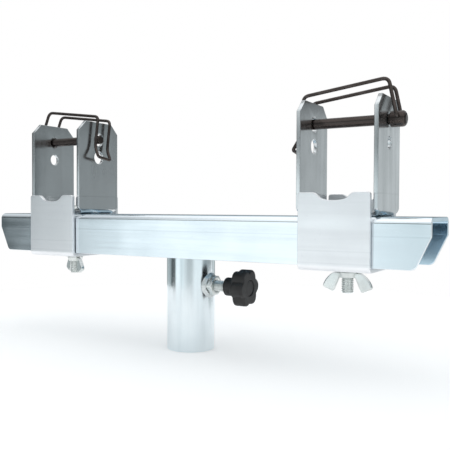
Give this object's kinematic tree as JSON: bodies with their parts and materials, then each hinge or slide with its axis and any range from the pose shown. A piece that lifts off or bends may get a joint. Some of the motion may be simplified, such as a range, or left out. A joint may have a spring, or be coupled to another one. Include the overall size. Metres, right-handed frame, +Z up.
{
  "type": "adjustable truss support bar",
  "caption": "Folded steel crossbar on a clamped stand socket, with two sliding forked carriages that hold truss chords under wire-locked pins.",
  "frame": {"origin": "centre of the socket tube's lower mouth", "axes": "+X along the channel, +Y across it, +Z up the socket towards the forks"},
  "size_m": [0.4555, 0.0688, 0.2349],
  "materials": {
    "zinc": "bright blue zinc plate, satin",
    "galvanised": "galvanised sheet, satin",
    "fastener": "bright zinc plate",
    "black_oxide": "black oxide with rubbed edges",
    "black_plastic": "moulded, matte"
  },
  "bodies": {
    "frame": {"crossbar_channel": "zinc", "socket_tube": "zinc", "socket_weld": "galvanised", "clamp_nut": "fastener", "nut_weld": "galvanised"},
    "clamp_travel": {"knob_cap": "black_plastic"},
    "clamp_screw": {"clamp_stud": "fastener", "knob_body": "black_plastic"},
    "left_carriage": {"left_saddle": "galvanised", "left_fork": "galvanised", "left_clamp_bolt": "fastener"},
    "left_washer_travel": {"left_washer": "fastener"},
    "left_wing_nut": {"left_wing_nut": "fastener"},
    "left_lock_pin": {"left_pin": "black_oxide", "left_pin_head": "black_oxide"},
    "left_bail": {"left_bail": "black_oxide"},
    "right_carriage": {"right_saddle": "galvanised", "right_fork": "galvanised", "right_clamp_bolt": "fastener"},
    "right_washer_travel": {"right_washer": "fastener"},
    "right_wing_nut": {"right_wing_nut": "fastener"},
    "right_lock_pin": {"right_pin": "black_oxide", "right_pin_head": "black_oxide"},
    "right_bail": {"right_bail": "black_oxide"}
  },
  "joints": [
    {"name": "clamp_travel", "type": "slide", "parent": "frame", "child": "clamp_travel", "axis": [1, 0, 0], "range_m": [-0.009, 0.003]},
    {"name": "clamp_turn", "type": "hinge", "parent": "clamp_travel", "child": "clamp_screw", "pos_m": [0.0396, 0, 0.0605], "axis": [1, 0, 0], "range_deg": [-2160, 720]},
    {"name": "left_carriage_slide", "type": "slide", "parent": "frame", "child": "left_carriage", "axis": [1, 0, 0], "range_m": [-0.044, 0.092]},
    {"name": "left_washer_travel", "type": "slide", "parent": "left_carriage", "child": "left_washer_travel", "axis": [0, 0, -1], "range_m": [0, 0.006]},
    {"name": "left_wing_nut_turn", "type": "hinge", "parent": "left_washer_travel", "child": "left_wing_nut", "pos_m": [-0.1485, 0, 0.0801], "axis": [0, 0, -1], "range_deg": [0, 1440]},
    {"name": "left_pin_turn", "type": "hinge", "parent": "left_carriage", "child": "left_lock_pin", "pos_m": [-0.1485, 0, 0.2018], "axis": [1, 0, 0], "range_deg": [0, 16]},
    {"name": "left_bail_swing", "type": "hinge", "parent": "left_lock_pin", "child": "left_bail", "pos_m": [-0.1896, 0, 0.2018], "axis": [0, -0.9903, 0.1392], "range_deg": [0, 160]},
    {"name": "right_carriage_slide", "type": "slide", "parent": "frame", "child": "right_carriage", "axis": [1, 0, 0], "range_m": [-0.066, 0.039]},
    {"name": "right_washer_travel", "type": "slide", "parent": "right_carriage", "child": "right_washer_travel", "axis": [0, 0, -1], "range_m": [0, 0.006]},
    {"name": "right_wing_nut_turn", "type": "hinge", "parent": "right_washer_travel", "child": "right_wing_nut", "pos_m": [0.1541, 0, 0.0801], "axis": [0, 0, -1], "range_deg": [0, 1440]},
    {"name": "right_pin_turn", "type": "hinge", "parent": "right_carriage", "child": "right_lock_pin", "pos_m": [0.1541, 0, 0.2018], "axis": [1, 0, 0], "range_deg": [0, 22]},
    {"name": "right_bail_swing", "type": "hinge", "parent": "right_lock_pin", "child": "right_bail", "pos_m": [0.1952, 0, 0.2018], "axis": [0, 0.9816, -0.1908], "range_deg": [0, 160]}
  ],
  "couplings": [
    {"joint": "clamp_travel", "follows": "clamp_turn", "m_per_rad": 0.00023873},
    {"joint": "left_washer_travel", "follows": "left_wing_nut_turn", "m_per_rad": 0.00023873},
    {"joint": "right_washer_travel", "follows": "right_wing_nut_turn", "m_per_rad": 0.00023873}
  ]
}
